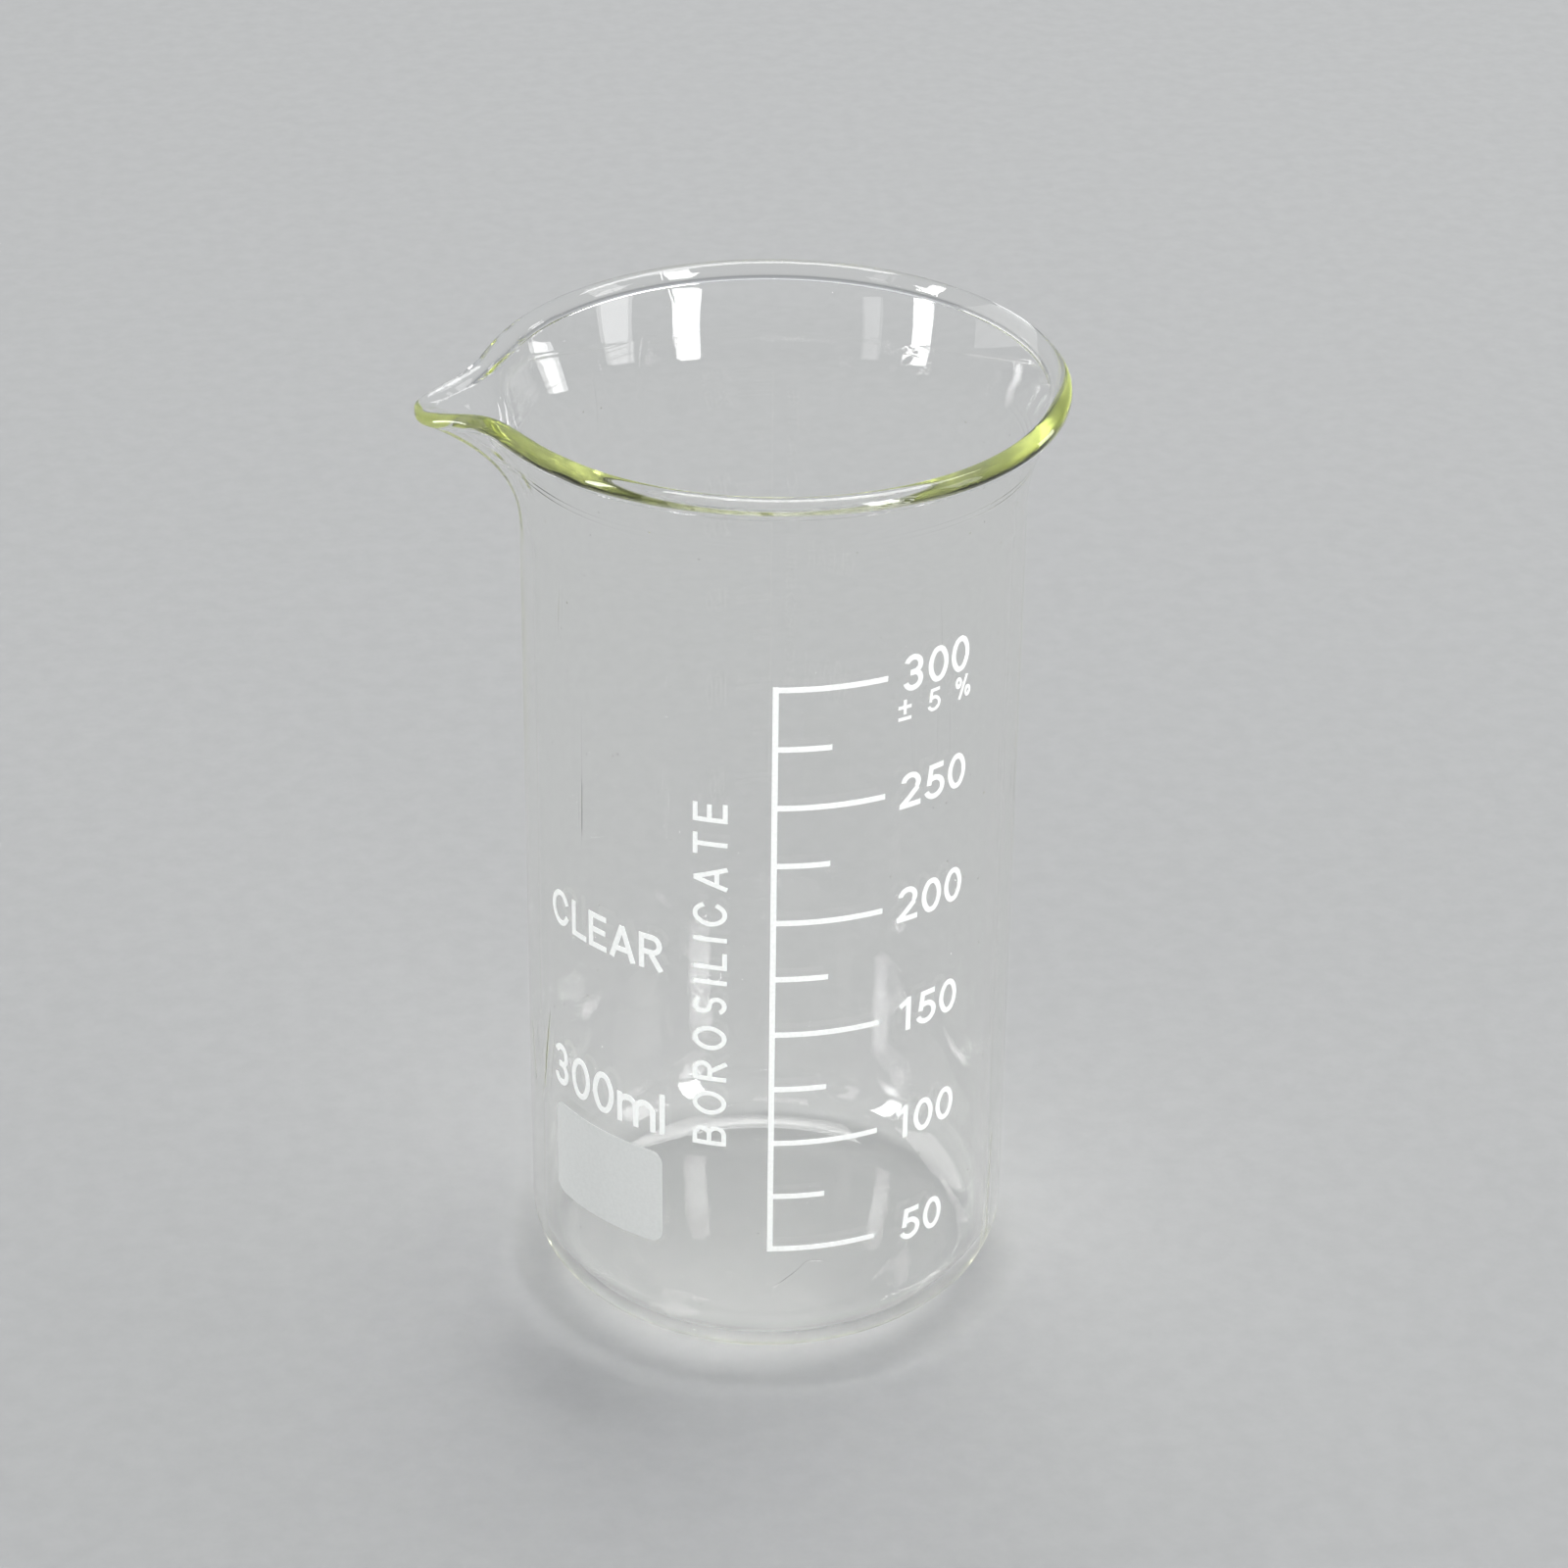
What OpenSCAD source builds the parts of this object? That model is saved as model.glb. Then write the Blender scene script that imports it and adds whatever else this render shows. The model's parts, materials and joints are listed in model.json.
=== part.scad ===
// Tall-form laboratory beaker, 300 ml: a one-piece blown glass vessel with a beaded,
// flared rim and a drawn spout, and a white enamel scale fired onto its outer wall.
// Millimetres. +Z is up, the origin is on the axis at the plane that the beaker rests on,
// the spout points along -X and the scale faces -Y.

/* [Body] */
// Outer diameter of the straight wall
body_od = 65; // [62:0.5:68]
// Thickness of the wall
wall = 1.7; // [1.3:0.1:2]
// Height from the resting plane to the top of the rim
overall_h = 132; // [128:1:138]
// Outside radius of the heel, where the wall turns into the base
heel_r = 9; // [7:0.5:11]
// Thickness of the glass at the middle of the base
floor_t = 2.2; // [1.8:0.1:3]
// Height of the shallow hollow under the base
push_up = 0.8; // [0.4:0.1:1.2]
// Radius of the shallow hollow, inside the ring that the beaker stands on
push_up_r = 19; // [16:0.5:20]

/* [Rim and spout] */
// Outer diameter of the rim
rim_od = 75.2; // [73:0.2:77]
// Diameter of the fire-polished bead on the rim
bead_d = 2.8; // [2.4:0.1:3.2]
// Diameter of the bead at the tip of the spout, where the glass is drawn thin
spout_bead_d = 1.8; // [1.6:0.1:2.4]
// Radius of the flare below the rim, at the middle of the wall
flare_r = 30; // [24:1:36]
// How far the spout stands out past the round rim
spout_reach = 8.4; // [6:0.2:10]
// How far the tip of the spout lies below the rim
spout_drop = 1.6; // [0:0.2:3]
// Angle either side of the tip at which the spout stands out half as far
spout_half_angle = 7.7; // [6:0.1:10]
// Height of wall that the spout is drawn from
spout_depth = 23; // [18:1:26]

/* [Scale] */
// Turn of the scale's upright line from the middle of the front, towards +X
scale_turn = -7; // [-20:1:20]
// Height of the lowest graduation, 50 ml
first_mark_z = 20.2; // [18:0.1:24]
// Length of the long graduations, as an angle round the wall
long_tick_turn = 25.3; // [20:0.1:30]
// Length of the short graduations, as an angle round the wall
short_tick_turn = 12.6; // [8:0.1:18]
// Width of the upright line and the graduations
line_w = 0.75; // [0.5:0.05:1]
// Thickness of the fired enamel
enamel_t = 0.08; // [0.06:0.01:0.12]

/* [Lettering] */
// Height of the scale's numerals
numeral_h = 5; // [4:0.1:6]
// Stroke width of the numerals, as a share of their height
numeral_stroke = 0.15; // [0.1:0.005:0.16]
// Height of the capacity mark above the marking patch
capacity_h = 6.3; // [4:0.1:7]
// Stroke width of the capacity mark, as a share of its height
capacity_stroke = 0.135; // [0.1:0.005:0.16]
// Width of the capacity mark's characters, as a share of the numerals'
capacity_squeeze = 0.9; // [0.8:0.02:1]
// Gap between the capacity mark and the marking patch
capacity_gap = 2.9; // [1:0.1:5]
// Turn of the numerals' middle from the scale's upright line
numeral_offset = 38.7; // [36:0.1:42]
// Height of the tolerance mark under the top numeral
tolerance_h = 3.2; // [2.4:0.1:3.6]
// Stroke width of the tolerance mark, as a share of its height
tolerance_stroke = 0.14; // [0.1:0.005:0.16]
// Gap between the top numeral and the tolerance mark
tolerance_gap = 0.8; // [0.4:0.1:1.5]
// Height of the letters of the short word above the capacity mark
name_h = 5.2; // [4:0.1:6]
// Stroke width of the short word, as a share of its height
name_stroke = 0.145; // [0.1:0.005:0.16]
// Height of the middle of the short word
name_z = 63.8; // [55:0.1:75]
// Height of the letters of the upright word
upright_h = 4.5; // [3.5:0.1:5.5]
// Stroke width of the upright word, as a share of its height
upright_stroke = 0.135; // [0.1:0.005:0.16]
// Turn of the upright word's middle from the scale's upright line
upright_offset = -14.3; // [-18:0.1:-10]
// Height of the middle of the upright word
upright_z = 61.8; // [55:0.1:70]

/* [Marking patch] */
// Turn of the patch's middle from the middle of the front
patch_turn = -50.2; // [-60:0.5:-40]
// Width of the patch round the wall, as an angle
patch_w_turn = 34.6; // [25:0.1:40]
// Height of the patch's lower edge
patch_z = 18.8; // [15:0.1:30]
// Height of the patch
patch_h = 14.4; // [10:0.1:20]
// Radius of the patch's corners
patch_corner_r = 1.7; // [1:0.1:3]

/* [Hidden] */
$fn = 96;

body_r = body_od / 2;
inner_r = body_r - wall;
eps = 0.01;

// One graduation is 25 ml of the straight bore.
mark_ml = 25;
mark_count = 11;
mark_pitch = mark_ml * 1000 / (PI * inner_r * inner_r);
scale_top_z = first_mark_z + (mark_count - 1) * mark_pitch;

// ---- profile of the wall, followed along its middle ----
mid_r = body_r - wall / 2;
bead_mid_r = rim_od / 2 - bead_d / 2;
bead_mid_z = overall_h - bead_d / 2;
flare_end = acos(1 - (bead_mid_r - mid_r) / flare_r);
flare_z = bead_mid_z - flare_r * sin(flare_end);
spout_z = bead_mid_z - spout_depth;

// The drawn top is a mesh of columns round the axis, each a closed profile. It laps a little
// into the straight body, and lies just inside the body's two round walls there.
lap = 0.5;
outer_inset = 0.03;
inner_inset = 0.07;
columns = 96;
column_crowding = 0.7;
straight_steps = 5;
flare_steps = 10;
bead_steps = 8;
// The wall stops at this step, a little under the bead, and the bead turns this far either way
wall_end = 1.94;
bead_turn = 130;
// Angle from the spout over which the bead thickens
bead_spread = 14;

// Angle of a column from the spout, crowded towards the spout
function column_turn(j) =
    let (u = 2 * j / columns - 1)
    180 * u - column_crowding * 180 / PI * sin(180 * u);

// Share of the spout's full reach at a turn from its middle
function spout_share(turn) = 1 / (1 + pow(abs(turn) / spout_half_angle, 3));

// Share of the reach at a height, rising from nothing where the spout starts
function spout_rise(z) = pow(max(0, (z - spout_z) / spout_depth), 3);

// Radius and height of the plain wall's middle, at step t: 0 to 1 straight, 1 to 2 the flare
function plain_mid(t) =
    t <= 1
    ? [mid_r, spout_z - lap + t * (flare_z - spout_z + lap)]
    : let (a = (t - 1) * flare_end)
      [mid_r + flare_r * (1 - cos(a)), flare_z + flare_r * sin(a)];

// Point on the middle of the drawn wall. The spout points along -X.
function drawn_mid(turn, t) =
    let (
        plain = plain_mid(t),
        share = spout_share(turn) * spout_rise(plain[1]),
        r = plain[0] + spout_reach * share
    )
    [-r * cos(turn), -r * sin(turn), plain[1] - spout_drop * share];

function unit(v) = v / norm(v);
function along(turn, t) = unit(drawn_mid(turn, t + 0.001) - drawn_mid(turn, t - 0.001));
function round_axis(turn, t) = unit(drawn_mid(turn + 0.05, t) - drawn_mid(turn - 0.05, t));
function outward(turn, t) = unit(cross(round_axis(turn, t), along(turn, t)));

function bead_r(turn) = (bead_d - (bead_d - spout_bead_d) * exp(-pow(turn / bead_spread, 2))) / 2;

// Steps along the wall, from the bottom of the drawn top to the bead
steps = concat(
    [for (i = [0 : straight_steps - 1]) i / straight_steps],
    [for (i = [0 : flare_steps]) 1 + i / flare_steps * (wall_end - 1)]
);

// One closed profile: up the outside, over the bead, down the inside
function column(turn) =
    let (
        centre = drawn_mid(turn, 2),
        up = along(turn, 1.999),
        out = outward(turn, 1.999),
        r = bead_r(turn)
    )
    concat(
        [for (t = steps) drawn_mid(turn, t) + outward(turn, t) * (wall / 2 - outer_inset)],
        [for (i = [0 : bead_steps])
            let (a = bead_turn * (1 - 2 * i / bead_steps))
            centre + r * (cos(a) * up + sin(a) * out)],
        [for (i = [len(steps) - 1 : -1 : 0])
            drawn_mid(turn, steps[i]) - outward(turn, steps[i]) * (wall / 2 - inner_inset)]
    );

module drawn_top() {
    rings = [for (j = [0 : columns - 1]) column(column_turn(j))];
    size = len(rings[0]);
    points = [for (ring = rings) for (p = ring) p];
    faces = [
        for (j = [0 : columns - 1])
            for (i = [0 : size - 1])
                let (
                    a = j * size + i,
                    b = j * size + (i + 1) % size,
                    c = ((j + 1) % columns) * size + (i + 1) % size,
                    d = ((j + 1) % columns) * size + i
                )
                each [[a, b, c], [a, c, d]]
    ];
    polyhedron(points, faces, convexity = 6);
}

// ---- straight body, heel and base, as a turned section ----
dome_r = 400;
base_flat_r = body_r - heel_r;
under_dome_r = (push_up_r * push_up_r + push_up * push_up) / (2 * push_up);
floor_rise = push_up + floor_t - wall;
floor_dome_r = (base_flat_r * base_flat_r + floor_rise * floor_rise) / (2 * floor_rise);

module turned_outline(r, corner, top) {
    translate([0, corner]) square([r, top - corner]);
    square([r - corner, top]);
    translate([r - corner, corner]) circle(corner);
}

module half_disc(r, top_z) {
    intersection() {
        translate([0, top_z - r]) circle(r, $fn = 720);
        translate([0, -dome_r]) square([dome_r, 2 * dome_r]);
    }
}

module body_section() {
    difference() {
        turned_outline(body_r, heel_r, spout_z);
        difference() {
            translate([0, wall]) turned_outline(inner_r, heel_r - wall, spout_z);
            half_disc(floor_dome_r, push_up + floor_t);
        }
        half_disc(under_dome_r, push_up);
    }
}

module glass_vessel() {
    color([0.86, 0.93, 0.86, 0.35]) {
        rotate_extrude($fn = 180) body_section();
        drawn_top();
    }
}

// ---- enamel: flat artwork wrapped on the wall ----
enamel_white = [0.93, 0.94, 0.92];
letter_depth = 1.5;
patch_depth = 5;

module enamel_skin() {
    difference() {
        cylinder(r = body_r + enamel_t, h = overall_h, $fn = 180);
        translate([0, 0, -eps]) cylinder(r = body_r, h = overall_h + 2 * eps, $fn = 180);
    }
}

// Stands flat artwork up against the wall, at a turn from the middle of the front
module on_wall(turn, z, depth = letter_depth) {
    rotate([0, 0, turn])
        translate([0, -body_r + depth / 2, z])
            rotate([90, 0, 0]) linear_extrude(depth) children();
}

function turn_of(length) = length / body_r * 180 / PI;

// A level slab between two turns, standing through the wall
module tick_slab(from_turn, to_turn, z) {
    reach = body_r + letter_depth;
    translate([0, 0, z - line_w / 2])
        linear_extrude(line_w)
            polygon([
                [0, 0],
                reach * [sin(from_turn), -cos(from_turn)],
                reach * [sin(to_turn), -cos(to_turn)]
            ]);
}

// The upright line ends just past the middle of the top and bottom graduations' width
line_overrun = line_w / 2 + 0.04;

module scale_ladder() {
    color(enamel_white)
        intersection() {
            union() {
                on_wall(scale_turn, first_mark_z - line_overrun)
                    translate([-line_w / 2, 0])
                        square([line_w, scale_top_z - first_mark_z + 2 * line_overrun]);
                for (i = [0 : mark_count - 1])
                    tick_slab(scale_turn, scale_turn + (i % 2 == 0 ? long_tick_turn : short_tick_turn),
                        first_mark_z + i * mark_pitch);
            }
            enamel_skin();
        }
}

module rounded_box(w, h, r) {
    for (x = [r - w / 2, w / 2 - r])
        for (y = [r, h - r]) translate([x, y]) circle(r, $fn = 48);
    translate([-w / 2, r]) square([w, h - 2 * r]);
    translate([r - w / 2, 0]) square([w - 2 * r, h]);
}

module marking_patch() {
    color([0.74, 0.77, 0.74])
        intersection() {
            on_wall(patch_turn, patch_z, patch_depth)
                rounded_box(2 * body_r * sin(patch_w_turn / 2), patch_h, patch_corner_r);
            enamel_skin();
        }
}

// ---- lettering, drawn one unit high with strokes $s wide ----

module stroke(x1, y1, x2, y2) {
    translate([x1, y1])
        rotate(atan2(y2 - y1, x2 - x1))
            translate([0, -$s / 2]) square([norm([x2 - x1, y2 - y1]), $s]);
}

// A round stroke about a centre, counter-clockwise from one angle to another
module round_stroke(x, y, r, from, to) {
    reach = 2 * (r + $s);
    middle = (from + to) / 2;
    translate([x, y])
        intersection() {
            difference() {
                circle(r + $s / 2, $fn = 48);
                circle(r - $s / 2, $fn = 48);
            }
            polygon([
                [0, 0],
                reach * [cos(from), sin(from)],
                reach * [cos((from + middle) / 2), sin((from + middle) / 2)],
                reach * [cos(middle), sin(middle)],
                reach * [cos((middle + to) / 2), sin((middle + to) / 2)],
                reach * [cos(to), sin(to)]
            ]);
        }
}

// An upright oval of four arcs: two ends of radius r and two flatter sides
module oval_disc(w, h, r) {
    end_y = h / 2 - r;
    spare = w / 2 - r;
    side_x = (end_y * end_y - spare * spare) / (2 * spare);
    side_r = w / 2 + side_x;
    join_y = side_r * end_y / norm([side_x, end_y]);
    for (y = [-end_y, end_y]) translate([0, y]) circle(r, $fn = 48);
    intersection() {
        translate([-side_x, 0]) circle(side_r, $fn = 96);
        translate([side_x, 0]) circle(side_r, $fn = 96);
        square([w, 2 * join_y], center = true);
    }
}

module oval_stroke(x, y, w, h, r) {
    translate([x, y])
        difference() {
            oval_disc(w, h, r);
            oval_disc(w - 2 * $s, h - 2 * $s, r - $s);
        }
}

function bowl() = (1 - $s) / 4;
function lower_y() = $s / 2 + bowl();
function upper_y() = 1 - $s / 2 - bowl();
function left() = $s / 2;

module digit_0() oval_stroke(0.33, 0.5, 0.66, 1, 0.25);

module digit_1() {
    stroke(0.4, 0, 0.4, 1);
    stroke(0.13, 0.76, 0.44, 0.95);
}

module digit_2() {
    round_stroke(0.33, 0.7, 0.3 - $s / 2, -38, 170);
    stroke(0.33 + 0.27 * cos(-38), 0.72 - 0.3 * sin(38), 0.09, 0.1);
    stroke(0, $s / 2, 0.64, $s / 2);
}

module digit_3() {
    round_stroke(0.31, upper_y(), bowl(), -100, 160);
    round_stroke(0.31, lower_y(), bowl() + 0.01, -165, 100);
    stroke(0.22, 0.5, 0.34, 0.5);
}

module digit_5() {
    round_stroke(0.31, 0.34, 0.34 - $s / 2, -160, 128);
    stroke(0.13, 0.42, 0.2, 0.99);
    stroke(0.16, 1 - $s / 2, 0.6, 1 - $s / 2);
}

// A closed bowl against the stem, between two heights, turning round at x
module letter_bowl(low, high, x) {
    difference() {
        bowl_disc(0, low, high, x);
        bowl_disc($s, low + $s, high - $s, x);
    }
}

module bowl_disc(start, low, high, x) {
    translate([start, low]) square([x - start, high - low]);
    translate([x, (low + high) / 2]) circle((high - low) / 2, $fn = 48);
}

module letter_B() {
    letter_bowl(0, 0.5 + 0.55 * $s, 0.37);
    letter_bowl(0.5 - 0.45 * $s, 1, 0.35);
}

module letter_O() oval_stroke(0.4, 0.5, 0.8, 1, 0.32);

module letter_R() {
    stroke(left(), 0, left(), 1);
    letter_bowl(0.42, 1, 0.36);
    stroke(0.34, 0.44, 0.62, 0);
}

module letter_S() {
    round_stroke(0.34, upper_y(), bowl(), 20, 268);
    stroke(0.3, 0.5, 0.38, 0.5);
    round_stroke(0.34, lower_y(), bowl(), -160, 92);
}

module letter_I() stroke(left(), 0, left(), 1);

module letter_L() {
    stroke(left(), 0, left(), 1);
    stroke(left(), $s / 2, 0.55, $s / 2);
}

module letter_C() {
    difference() {
        letter_O();
        polygon([[0.4, 0.5], [1.2, 0.02], [1.2, 0.98]]);
    }
}

module letter_A() {
    stroke(0.07, 0, 0.4, 1 - $s / 4);
    stroke(0.73, 0, 0.4, 1 - $s / 4);
    stroke(0.18, 0.3, 0.62, 0.3);
}

module letter_T() {
    stroke(0.34, 0, 0.34, 1);
    stroke(0, 1 - $s / 2, 0.68, 1 - $s / 2);
}

module letter_E() {
    stroke(left(), 0, left(), 1);
    for (y = [$s / 2, 0.52, 1 - $s / 2]) stroke(left(), y, y == 0.52 ? 0.56 : 0.6, y);
}

module letter_m() {
    arch = 0.23;
    arch_y = 0.73 - $s / 2 - arch;
    stroke(left(), 0, left(), 0.73);
    for (x = [left(), left() + 2 * arch]) {
        round_stroke(x + arch, arch_y, arch, 0, 180);
        stroke(x + 2 * arch, 0, x + 2 * arch, arch_y);
    }
}

module sign_plus_minus() {
    stroke(0, $s / 2, 0.6, $s / 2);
    stroke(0, 0.58, 0.6, 0.58);
    stroke(0.3, 0.26, 0.3, 0.9);
}

module sign_percent() {
    for (place = [[0.2, 0.75], [0.74, 0.25]])
        oval_stroke(place[0], place[1], 0.38, 0.5, 0.16);
    stroke(0.26, 0, 0.68, 1);
}

// Drawn width of each character, and the gap that follows it
letter_gap = 0.11;
function width_of(c) =
    c == "1" ? 0.56 : c == "I" || c == "l" ? $s : c == " " ? 0.3 : c == "L" ? 0.55
    : c == "O" || c == "C" || c == "A" ? 0.8 : c == "m" ? $s + 0.92 : c == "%" ? 0.94
    : c == "B" || c == "R" || c == "S" || c == "T" ? 0.68
    : c == "E" || c == "+" ? 0.6 : 0.66;

module character(c) {
    if (c == "0") digit_0();
    if (c == "1") digit_1();
    if (c == "2") digit_2();
    if (c == "3") digit_3();
    if (c == "5") digit_5();
    if (c == "A") letter_A();
    if (c == "B") letter_B();
    if (c == "C") letter_C();
    if (c == "E") letter_E();
    if (c == "I" || c == "l") letter_I();
    if (c == "L") letter_L();
    if (c == "O") letter_O();
    if (c == "R") letter_R();
    if (c == "S") letter_S();
    if (c == "T") letter_T();
    if (c == "m") letter_m();
    if (c == "+") sign_plus_minus();
    if (c == "%") sign_percent();
}

// Distance from the start of a word to the start of its character i
function start_of(word, i, gap) = i == 0 ? 0 : start_of(word, i - 1, gap) + width_of(word[i - 1]) + gap;
function length_of(word, gap) = start_of(word, len(word) - 1, gap) + width_of(word[len(word) - 1]);

// A word that runs round the wall, centred on a turn, its middle at height z
module word_round(word, turn, z, h, gap, weight, squeeze = 1) {
    $s = weight;
    color(enamel_white)
        intersection() {
            for (i = [0 : len(word) - 1])
                let (middle = start_of(word, i, gap) + width_of(word[i]) / 2 - length_of(word, gap) / 2)
                on_wall(turn + turn_of(middle * h * squeeze), z - h / 2)
                    scale([h * squeeze, h]) translate([-width_of(word[i]) / 2, 0]) character(word[i]);
            enamel_skin();
        }
}

// A word that reads upwards, centred on a height
module word_upright(word, turn, z, h, gap, weight) {
    $s = weight;
    color(enamel_white)
        intersection() {
            for (i = [0 : len(word) - 1])
                let (start = start_of(word, i, gap) - length_of(word, gap) / 2)
                on_wall(turn, z + start * h) rotate(90) scale(h) translate([0, -0.5]) character(word[i]);
            enamel_skin();
        }
}

numeral_turn = scale_turn + numeral_offset;
tolerance_letter_gap = 0.24;
upright_letter_gap = 0.37;

module numeral(word, mark) {
    word_round(word, numeral_turn, first_mark_z + mark * mark_pitch, numeral_h, letter_gap, numeral_stroke);
}

module numeral_50() numeral("50", 0);
module numeral_100() numeral("100", 2);
module numeral_150() numeral("150", 4);
module numeral_200() numeral("200", 6);
module numeral_250() numeral("250", 8);
module numeral_300() numeral("300", 10);

module tolerance_mark() {
    middle_z = scale_top_z - numeral_h / 2 - tolerance_gap - tolerance_h / 2;
    word_round("+ 5 %", numeral_turn, middle_z, tolerance_h, tolerance_letter_gap, tolerance_stroke);
}

module capacity_mark() {
    middle_z = patch_z + patch_h + capacity_gap + capacity_h / 2;
    word_round("300ml", patch_turn, middle_z, capacity_h, letter_gap, capacity_stroke, capacity_squeeze);
}

module clear_word() word_round("CLEAR", patch_turn, name_z, name_h, letter_gap, name_stroke);

module borosilicate_word() {
    turn = scale_turn + upright_offset;
    word_upright("BOROSILICATE", turn, upright_z, upright_h, upright_letter_gap, upright_stroke);
}

glass_vessel();
scale_ladder();
numeral_50();
numeral_100();
numeral_150();
numeral_200();
numeral_250();
numeral_300();
tolerance_mark();
capacity_mark();
marking_patch();
clear_word();
borosilicate_word();
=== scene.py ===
"""Looks for a tall-form laboratory beaker: one blown glass vessel with fired enamel print on its wall."""

import json
import math

import bpy
import numpy as np
from mathutils import Matrix, Vector

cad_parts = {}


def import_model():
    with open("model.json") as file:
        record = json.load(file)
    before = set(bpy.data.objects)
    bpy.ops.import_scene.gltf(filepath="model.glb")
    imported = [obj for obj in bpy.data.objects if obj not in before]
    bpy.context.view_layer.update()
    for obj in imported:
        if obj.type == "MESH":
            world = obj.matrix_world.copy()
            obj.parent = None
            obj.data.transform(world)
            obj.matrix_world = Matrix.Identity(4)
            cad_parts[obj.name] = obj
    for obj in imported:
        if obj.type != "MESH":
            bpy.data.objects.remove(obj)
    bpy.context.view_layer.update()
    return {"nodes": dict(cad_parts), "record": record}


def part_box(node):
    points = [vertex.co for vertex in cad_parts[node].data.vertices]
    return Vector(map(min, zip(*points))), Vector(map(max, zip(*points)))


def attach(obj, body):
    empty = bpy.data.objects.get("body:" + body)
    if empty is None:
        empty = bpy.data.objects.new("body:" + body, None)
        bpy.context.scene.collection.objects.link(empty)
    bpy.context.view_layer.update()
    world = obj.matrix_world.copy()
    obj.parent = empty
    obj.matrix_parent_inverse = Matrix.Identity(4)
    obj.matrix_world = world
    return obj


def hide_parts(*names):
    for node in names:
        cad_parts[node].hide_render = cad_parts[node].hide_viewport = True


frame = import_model()

MM = 0.001
MOUNTS = {mount["name"]: mount for mount in frame["record"]["mounts"]}

# ---- driving sizes, in millimetres, as the CAD model has them ----
HEIGHT = 132.0
BODY_R = MOUNTS["outer_wall"]["dims"]["r_mm"]
RIM_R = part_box("glass_vessel")[1][1] / MM
WALL = 1.7
BEAD_D = 2.8
SPOUT_BEAD_D = 1.8
BEAD_MID_R = RIM_R - BEAD_D / 2
BEAD_MID_Z = HEIGHT - BEAD_D / 2
HEEL_R = 9.0
FLOOR_T = 2.2
PUSH_UP = 0.8
PUSH_UP_R = 19.0
FLARE_R = 30.0
SPOUT_REACH = 8.4
SPOUT_DROP = 1.6
SPOUT_HALF_TURN = 7.7
SPOUT_BEAD_TURN = 14.0
SPOUT_DEPTH = 23.0
SPOUT_Z = BEAD_MID_Z - SPOUT_DEPTH

# The glass stands this much proud of the enamel's inner face, so that no two faces coincide. This skin
# starts a few degrees up the heel and fades out over the last fifth of the flare.
SKIN = 0.012
SKIN_FADE = 0.2
HEEL_START = -86

# How uneven blown glass is, and the height above the heel over which the wall's unevenness comes in
UNEVEN = 0.035
UNEVEN_RISE = 12

# The two ridges inside the flare: how high on the wall, how wide, and how far they stand out
MARK_Z = (122.9, 123.8)
MARK_W = 0.13
MARK_H = 0.027

# Dents left by the tools that drew the spout: turn from the spout in degrees, height on the wall,
# half-width, half-height, and depth, outwards where it is above zero
DENTS = (
    (-43.0, 129.6, 1.9, 1.3, -0.1),
    (-30.0, 129.8, 1.5, 1.2, -0.07),
    (9.0, 126.0, 1.2, 1.3, 0.13),
    (14.5, 123.0, 1.0, 1.0, -0.1),
    (38.0, 129.6, 2.0, 1.3, -0.07),
)

# ---- the glass mesh ----

# Columns round the axis, and how far they crowd towards the spout
COLUMNS = 352
CROWDING = 0.5

# Rings on each stretch
HOLLOW_RINGS = 10
FOOT_RINGS = 6
HEEL_RINGS = 20
WALL_RINGS = 28
BEAD_RINGS = 21
FLOOR_RINGS = 16

# Steps up the drawn wall and the flare, closer together near the bead and, inside, at the ridges
WALL_STEPS = np.linspace(0, 1, 9)[:-1]
FLARE_STEPS = np.linspace(1, 1.88, 23)[:-1]
SWELL_STEPS = np.linspace(1.88, 2, 17)
RIDGE_STEPS = np.linspace(1.41, 1.61, 33)


# ---------------------------------------------------------------- the shape of the glass


def column_turns():
    """Angles round the axis from the spout, in radians, crowded towards the spout."""
    u = 2 * np.arange(COLUMNS) / COLUMNS - 1
    return math.pi * u - CROWDING * np.sin(math.pi * u)


def flare_end():
    return math.acos(1 - (BEAD_MID_R - (BODY_R - WALL / 2)) / FLARE_R)


def plain_mid(t):
    """Radius and height of the middle of the plain wall: t from 0 to 1 straight, from 1 to 2 the flare."""
    mid_r = BODY_R - WALL / 2
    flare_z = BEAD_MID_Z - FLARE_R * math.sin(flare_end())
    a = np.clip(t - 1, 0, None) * flare_end()
    straight = SPOUT_Z + np.clip(t, 0, 1) * (flare_z - SPOUT_Z)
    return mid_r + FLARE_R * (1 - np.cos(a)), straight + FLARE_R * np.sin(a)


def drawn_mid(turn, t):
    """Points on the middle of the wall where the spout is drawn out of it, towards -X."""
    r, z = plain_mid(t)
    rise = np.clip((z - SPOUT_Z) / SPOUT_DEPTH, 0, None) ** 3
    share = rise / (1 + np.abs(np.degrees(turn) / SPOUT_HALF_TURN) ** 3)
    r = r + SPOUT_REACH * share
    return np.stack([-r * np.cos(turn), -r * np.sin(turn), z - SPOUT_DROP * share], -1)


def unit(v):
    return v / np.linalg.norm(v, axis=-1, keepdims=True)


def drawn_axes(turn, t):
    """Unit directions up along the wall and straight out of it."""
    up = unit(drawn_mid(turn, t + 1e-3) - drawn_mid(turn, t - 1e-3))
    around = unit(drawn_mid(turn + 1e-3, t) - drawn_mid(turn - 1e-3, t))
    return up, unit(np.cross(around, up))


def waves(turn, z):
    """The slow unevenness of blown glass, from -1 to 1."""
    return (
        0.45 * np.sin(2 * turn + 0.021 * z + 0.6)
        + 0.3 * np.sin(5 * turn - 0.05 * z + 2.1)
        + 0.25 * np.sin(3 * turn + 0.11 * z)
    )


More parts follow.
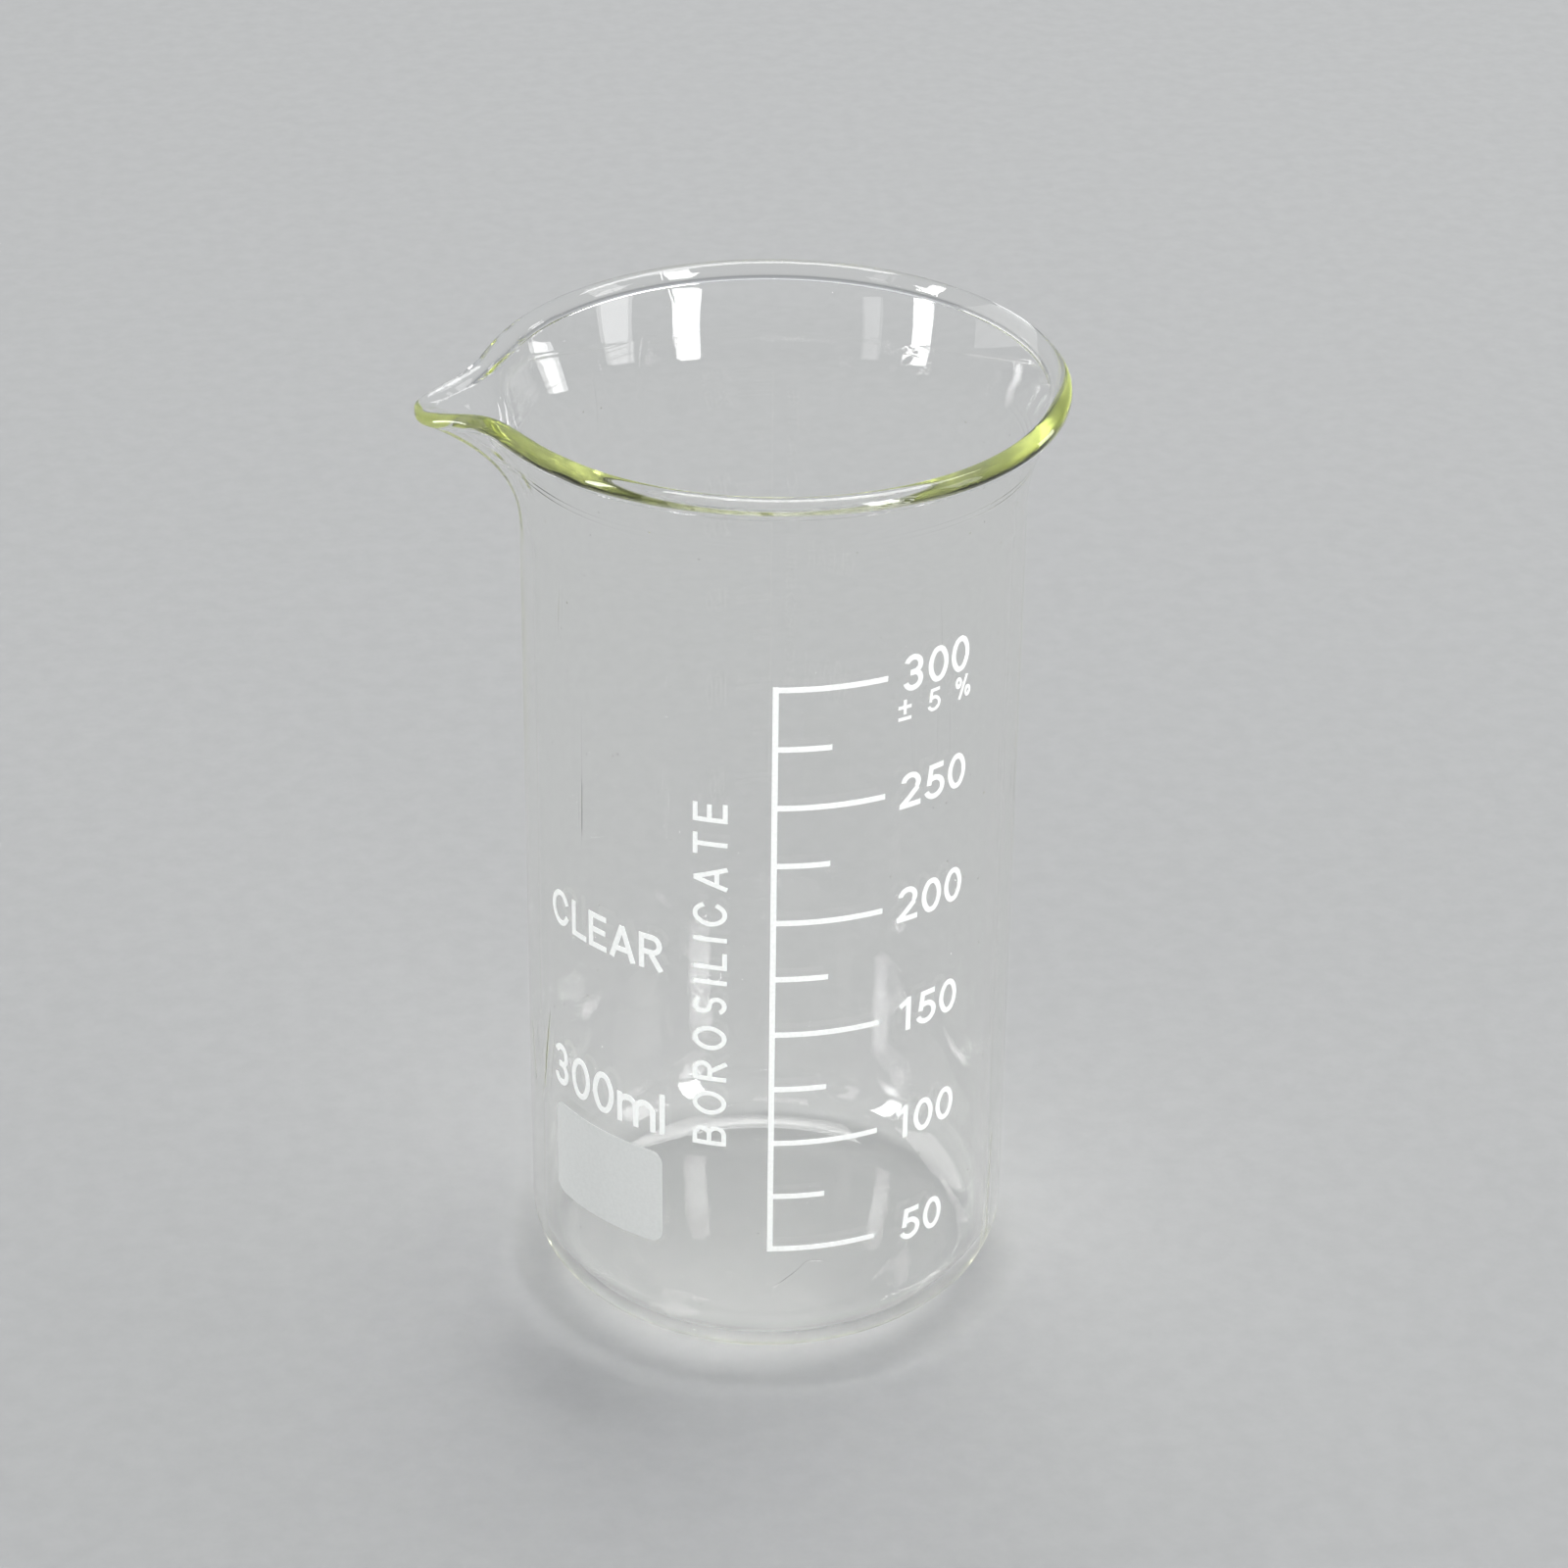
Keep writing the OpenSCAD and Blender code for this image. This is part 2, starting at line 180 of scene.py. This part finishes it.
def tool_marks(turn, t):
    """Height of the two fine ridges left inside the flare by the tool that it was spun on."""
    z = plain_mid(t)[1]
    strength = 0.6 + 0.4 * np.sin(3 * turn + 0.8) * np.sin(turn + 0.4)
    wander = 0.25 * np.sin(turn + 1.1) + 0.08 * np.sin(7 * turn)
    ridges = [np.exp(-(((z - at - wander) / MARK_W) ** 2)) for at in MARK_Z]
    return MARK_H * strength * sum(ridges)


def dents(turn, t):
    """How far the wall is pushed outwards by the marks of the tools that drew the spout."""
    r, z = plain_mid(t)
    push = np.zeros_like(turn)
    for at_turn, at_z, half_w, half_h, depth in DENTS:
        across = (turn - math.radians(at_turn)) * r / half_w
        push += depth * np.exp(-(across**2) - ((z - at_z) / half_h) ** 2)
    return push[:, None]


def half_thickness(turn, t):
    """Half the thickness of the wall, which swells into the bead round the rim."""
    degrees = np.degrees(turn)[:, None]
    bead_r = (BEAD_D - (BEAD_D - SPOUT_BEAD_D) * np.exp(-((degrees / SPOUT_BEAD_TURN) ** 2))) / 2
    below = (2 - t) * FLARE_R * flare_end()
    share = np.clip(1 - (below / bead_r) ** 2, 0, 1) ** 2
    half = WALL / 2
    return (half**4 + (bead_r**4 - half**4) * share) ** 0.25


def wall_face(turn, t, side):
    """One ring of the wall's outer face, side 1, or of its inner face, side -1."""
    _, out = drawn_axes(turn, t)
    mid = drawn_mid(turn, t) + out * dents(turn, t)
    skin = SKIN
    if side < 0:
        skin = (UNEVEN * waves(turn, mid[:, 2]) + tool_marks(turn, t))[:, None]
    fade = min(1.0, (2 - t) / SKIN_FADE)
    return mid + side * out * (half_thickness(turn, t) + skin * fade)


def drawn_rings(turn):
    """Rings of the drawn top in order: up the outside, over the bead, down the inside."""
    outer_steps = np.concatenate([WALL_STEPS, FLARE_STEPS, SWELL_STEPS])
    inner_steps = np.unique(np.round(np.append(outer_steps, RIDGE_STEPS), 4))
    up, out = drawn_axes(turn, 2.0)
    centre = drawn_mid(turn, 2.0) + out * dents(turn, 2.0)
    bead_r = half_thickness(turn, 2.0)
    bead = [
        centre + bead_r * (math.cos(a) * up + math.sin(a) * out)
        for a in np.radians(np.linspace(90, -90, BEAD_RINGS)[1:-1])
    ]
    outside = [wall_face(turn, t, 1) for t in outer_steps]
    return outside + bead + [wall_face(turn, t, -1) for t in inner_steps[::-1]]


def arc(centre_r, centre_z, radius, start, end, count):
    """Radius and height of points along an arc; angles in degrees, 0 outward and 90 up."""
    return [
        (centre_r + radius * math.cos(a), centre_z + radius * math.sin(a))
        for a in np.radians(np.linspace(start, end, count))
    ]


def dome(edge_r, edge_z, rise, count):
    """A shallow dome from near the axis out to its edge."""
    radius = (edge_r**2 + rise**2) / (2 * rise)
    rs = np.linspace(edge_r / count, edge_r, count)
    return [(r, edge_z + rise - radius + math.sqrt(radius**2 - r**2)) for r in rs]


def turned_ring(turn, r, z):
    z = z + np.zeros_like(turn)
    return np.stack([-r * np.cos(turn), -r * np.sin(turn), z], -1)


def settled(turn, r, z):
    """Height of the inner floor, where the hot glass settled unevenly."""
    swirl = np.sin(3 * turn + 0.35 * r) + 0.6 * np.sin(5 * turn - 0.5 * r + 1.0)
    return z + UNEVEN * swirl * math.sin(math.pi * min(1.0, r / (BODY_R - WALL)))


def glass_vessel():
    """The whole vessel as one closed mesh, its rings in order from under the base to the inner floor."""
    turn = column_turns()
    flat_r = BODY_R - HEEL_R
    under = dome(PUSH_UP_R, 0, PUSH_UP, HOLLOW_RINGS)
    under += [(r, 0.0) for r in np.linspace(PUSH_UP_R, flat_r, FOOT_RINGS)[1:]]
    heel = arc(flat_r, HEEL_R, HEEL_R + SKIN, HEEL_START, 0, HEEL_RINGS)
    wall_z = np.linspace(HEEL_R, SPOUT_Z, WALL_RINGS)[1:-1]
    outer = under + heel + [(BODY_R + SKIN, z) for z in wall_z]
    rings = [turned_ring(turn, r, z) for r, z in outer]
    rings += drawn_rings(turn)
    for z in wall_z[::-1]:
        fade = min(1.0, (z - HEEL_R) / UNEVEN_RISE)
        rings.append(turned_ring(turn, BODY_R - WALL - UNEVEN * fade * waves(turn, z), z))
    inner_heel = arc(flat_r, HEEL_R, HEEL_R - WALL, 0, -90, HEEL_RINGS)
    inner_floor = dome(flat_r, WALL, PUSH_UP + FLOOR_T - WALL, FLOOR_RINGS)[::-1]
    rings += [turned_ring(turn, r, settled(turn, r, z)) for r, z in inner_heel + inner_floor[1:]]
    points = np.concatenate(rings) * MM
    poles = np.array([[0, 0, PUSH_UP], [0, 0, PUSH_UP + FLOOR_T]]) * MM
    return mesh_of_rings("beaker_glass", points, len(rings), poles)


def mesh_of_rings(name, points, count, poles):
    """A closed mesh of rings of COLUMNS points, closed at both ends on a pole."""
    index = np.arange(count * COLUMNS).reshape(count, COLUMNS)
    after = np.roll(index, -1, axis=1)
    quads = np.stack([index[:-1], after[:-1], after[1:], index[1:]], -1).reshape(-1, 4)
    first, last = len(points), len(points) + 1
    start = [(first, int(b), int(a)) for a, b in zip(index[0], after[0])]
    end = [(last, int(a), int(b)) for a, b in zip(index[-1], after[-1])]
    mesh = bpy.data.meshes.new(name)
    mesh.from_pydata(
        np.concatenate([points, poles]).tolist(), [], quads.tolist() + start + end
    )
    mesh.validate()
    mesh.polygons.foreach_set("use_smooth", [True] * len(mesh.polygons))
    mesh.update()
    ob = bpy.data.objects.new(name, mesh)
    bpy.context.collection.objects.link(ob)
    return ob


# ---------------------------------------------------------------- materials


def new_material(name):
    mat = bpy.data.materials.new(name)
    mat.use_nodes = True
    nodes = mat.node_tree.nodes
    nodes.clear()
    out = nodes.new("ShaderNodeOutputMaterial")
    shader = nodes.new("ShaderNodeBsdfPrincipled")
    mat.node_tree.links.new(shader.outputs[0], out.inputs["Surface"])
    return mat, mat.node_tree, shader, out


def noise(tree, scale, detail=4.0, roughness=0.5):
    """Noise in the object's own space, its scale in features a metre."""
    where = tree.nodes.new("ShaderNodeTexCoord")
    node = tree.nodes.new("ShaderNodeTexNoise")
    node.inputs["Scale"].default_value = scale
    node.inputs["Detail"].default_value = detail
    node.inputs["Roughness"].default_value = roughness
    tree.links.new(where.outputs["Object"], node.inputs["Vector"])
    return node.outputs["Fac"]


def ramp(tree, value, stops):
    """A colour ramp on a value; stops are (place, grey or colour)."""
    node = tree.nodes.new("ShaderNodeValToRGB")
    elements = node.color_ramp.elements
    while len(elements) < len(stops):
        elements.new(0.5)
    for element, (place, colour) in zip(elements, stops):
        element.position = place
        grey = isinstance(colour, (int, float))
        element.color = (colour, colour, colour, 1) if grey else (*colour, 1)
    tree.links.new(value, node.inputs[0])
    return node.outputs[0]


def bump(tree, height, distance, strength=1.0):
    node = tree.nodes.new("ShaderNodeBump")
    node.inputs["Distance"].default_value = distance
    node.inputs["Strength"].default_value = strength
    tree.links.new(height, node.inputs["Height"])
    return node.outputs[0]


def add(tree, a, b):
    node = tree.nodes.new("ShaderNodeMath")
    tree.links.new(a, node.inputs[0])
    tree.links.new(b, node.inputs[1])
    return node.outputs[0]


def times(tree, a, b):
    out = add(tree, a, b)
    out.node.operation = "MULTIPLY"
    return out


def specks(tree, where):
    """Sparse seeds and grains, up to a third of a millimetre across."""
    cells = tree.nodes.new("ShaderNodeTexVoronoi")
    cells.inputs["Scale"].default_value = 420
    tree.links.new(where, cells.inputs["Vector"])
    dots = ramp(tree, cells.outputs["Distance"], [(0.03, 1.0), (0.07, 0.0)])
    kept = ramp(tree, cells.outputs["Color"], [(0.62, 0.0), (0.66, 1.0)])
    return times(tree, dots, kept)


def scratches(tree, where):
    """Faint hairlines: thin level lines of a stretched noise, kept only in patches."""
    lie = tree.nodes.new("ShaderNodeMapping")
    lie.inputs["Rotation"].default_value = (0.35, 0.25, 0.4)
    lie.inputs["Scale"].default_value = (60, 60, 6)
    tree.links.new(where, lie.inputs["Vector"])
    streaks = tree.nodes.new("ShaderNodeTexNoise")
    streaks.inputs["Scale"].default_value = 1.0
    streaks.inputs["Detail"].default_value = 1.0
    tree.links.new(lie.outputs[0], streaks.inputs["Vector"])
    lines = ramp(tree, streaks.outputs["Fac"], [(0.495, 0.0), (0.5, 1.0), (0.505, 0.0)])
    patches = ramp(tree, noise(tree, 35, 2), [(0.58, 0.0), (0.66, 1.0)])
    return times(tree, lines, patches)


def clear_glass():
    """Clear glass with a faint yellow-green in its depth, and fine specks and scratches."""
    mat, tree, shader, out = new_material("borosilicate_glass")
    shader.inputs["Base Color"].default_value = (1, 1, 1, 1)
    shader.inputs["Transmission Weight"].default_value = 1.0
    shader.inputs["IOR"].default_value = 1.474
    shader.inputs["Roughness"].default_value = 0.0
    volume = tree.nodes.new("ShaderNodeVolumeAbsorption")
    volume.inputs["Color"].default_value = (0.72, 0.78, 0.10, 1)
    volume.inputs["Density"].default_value = 5.0
    tree.links.new(volume.outputs[0], out.inputs["Volume"])
    where = tree.nodes.new("ShaderNodeTexCoord").outputs["Object"]
    height = add(tree, specks(tree, where), scratches(tree, where))
    tree.links.new(bump(tree, height, 0.03 * MM), shader.inputs["Normal"])
    return mat


def enamel(name, thin, thick, rough):
    """Screen-printed enamel: slightly uneven cover, with a faint orange peel."""
    mat, tree, shader, _ = new_material(name)
    cover = noise(tree, 2200, 6, 0.6)
    tree.links.new(ramp(tree, cover, [(0.3, thin), (0.62, thick)]), shader.inputs["Base Color"])
    tree.links.new(ramp(tree, cover, [(0.3, rough + 0.12), (0.7, rough)]), shader.inputs["Roughness"])
    peel = noise(tree, 2600, 3)
    tree.links.new(bump(tree, peel, 0.02 * MM, 0.5), shader.inputs["Normal"])
    shader.inputs["IOR"].default_value = 1.5
    return mat


def pale_floor():
    """A matt pale grey, mottled very slightly."""
    mat, tree, shader, _ = new_material("pale_floor")
    tint = noise(tree, 260, 5, 0.6)
    stops = [(0.35, (0.395, 0.395, 0.39)), (0.65, (0.415, 0.415, 0.41))]
    tree.links.new(ramp(tree, tint, stops), shader.inputs["Base Color"])
    shader.inputs["Roughness"].default_value = 1.0
    shader.inputs["Specular IOR Level"].default_value = 0.0
    return mat


def set_material(ob, mat):
    ob.data.materials.clear()
    ob.data.materials.append(mat)


# ---------------------------------------------------------------- stage, light and camera


def floor():
    """A wide plain floor, a hair under the beaker's foot so that no two faces coincide."""
    half = 4.0
    mesh = bpy.data.meshes.new("floor")
    z = -0.08 * MM
    corners = [(-half, -half, z), (half, -half, z), (half, half, z), (-half, half, z)]
    mesh.from_pydata(corners, [], [(0, 1, 2, 3)])
    ob = bpy.data.objects.new("floor", mesh)
    bpy.context.collection.objects.link(ob)
    set_material(ob, pale_floor())


def direction(azimuth, elevation):
    """From the beaker towards a light or camera; azimuth 0 is at -Y, and +90 at +X."""
    a, e = math.radians(azimuth), math.radians(elevation)
    return Vector((math.sin(a) * math.cos(e), -math.cos(a) * math.cos(e), math.sin(e)))


def softbox(name, azimuth, elevation, distance, width, height, watts, only=None):
    """A rectangular light facing the beaker; where a collection is given, it lights only what is in that."""
    light = bpy.data.lights.new(name, "AREA")
    light.shape = "RECTANGLE"
    light.size, light.size_y = width, height
    light.energy = watts
    ob = bpy.data.objects.new(name, light)
    bpy.context.collection.objects.link(ob)
    ob.visible_camera = False
    ob.light_linking.receiver_collection = only
    aim = Vector((0, 0, 0.07))
    back = direction(azimuth, elevation)
    ob.location = aim + back * distance
    ob.rotation_euler = back.to_track_quat("Z", "Y").to_euler()
    return ob


def world(level, overhead):
    """Soft light from all round, from one strength at the horizon to another overhead."""
    w = bpy.data.worlds.new("studio")
    bpy.context.scene.world = w
    w.use_nodes = True
    nodes, links = w.node_tree.nodes, w.node_tree.links
    way = nodes.new("ShaderNodeTexCoord")
    split = nodes.new("ShaderNodeSeparateXYZ")
    rise = nodes.new("ShaderNodeMapRange")
    rise.inputs["To Min"].default_value = level
    rise.inputs["To Max"].default_value = overhead
    background = nodes["Background"]
    background.inputs["Color"].default_value = (0.93, 0.96, 1.0, 1)
    links.new(way.outputs["Generated"], split.inputs[0])
    links.new(split.outputs["Z"], rise.inputs["Value"])
    links.new(rise.outputs[0], background.inputs["Strength"])


def camera():
    """At the viewing angle of a standing photographer, with a long lens."""
    data = bpy.data.cameras.new("camera")
    data.sensor_width = 36
    data.lens = 102.6
    ob = bpy.data.objects.new("camera", data)
    bpy.context.collection.objects.link(ob)
    aim = Vector((1.8, -0.3, 72.4)) * MM
    back = direction(-8.2, 29.63)
    ob.location = aim + back * 0.5928
    roll = Matrix.Rotation(math.radians(0.70), 4, "Z")
    ob.rotation_euler = (back.to_track_quat("Z", "Y").to_matrix().to_4x4() @ roll).to_euler()
    bpy.context.scene.camera = ob


# ---------------------------------------------------------------- the scene

glass = glass_vessel()
set_material(glass, clear_glass())
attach(glass, "root")
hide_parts("glass_vessel")

white = enamel("white_enamel", (0.82, 0.83, 0.81), (0.90, 0.91, 0.89), 0.34)
grey = enamel("grey_enamel", (0.57, 0.58, 0.565), (0.605, 0.615, 0.6), 0.5)
for row in frame["record"]["subparts"]:
    if row["material_slot"] == "white_enamel":
        set_material(frame["nodes"][row["node"]], white)
    if row["material_slot"] == "grey_enamel":
        set_material(frame["nodes"][row["node"]], grey)

# The strips stand close to the floor, so they light only the beaker, and the floor stays even
beaker = bpy.data.collections.new("beaker")
for ob in [glass, *frame["nodes"].values()]:
    beaker.objects.link(ob)

floor()
world(0.32, 0.95)
softbox("right_strip", 32, 17, 0.9, 0.17, 0.58, 5, beaker)
softbox("left_strip", -75.5, 18, 1.5, 0.19, 0.97, 10, beaker)
softbox("right_fill", 66, 18, 0.9, 0.22, 0.55, 1.2, beaker)
softbox("left_fill", -52, 16, 0.9, 0.12, 0.5, 0.28, beaker)
softbox("spout_strip", 109, 6.4, 0.5, 0.1, 0.17, 0.25, beaker)
softbox("top_softbox", 150, 68, 1.6, 1.16, 0.73, 18)
# Lights the back of the print through the glass, and shows in no reflection
behind = softbox("back_softbox", 238, 28, 1.6, 1.2, 1.0, 6, beaker)
behind.visible_glossy = False
camera()

scene = bpy.context.scene
scene.cycles.max_bounces = 96
scene.cycles.transmission_bounces = 96
scene.cycles.glossy_bounces = 96
scene.cycles.transparent_max_bounces = 16
scene.cycles.sample_clamp_indirect = 0
scene.cycles.blur_glossy = 0.2
scene.cycles.use_denoising = True
scene.view_settings.view_transform = "Standard"
scene.view_settings.look = "None"
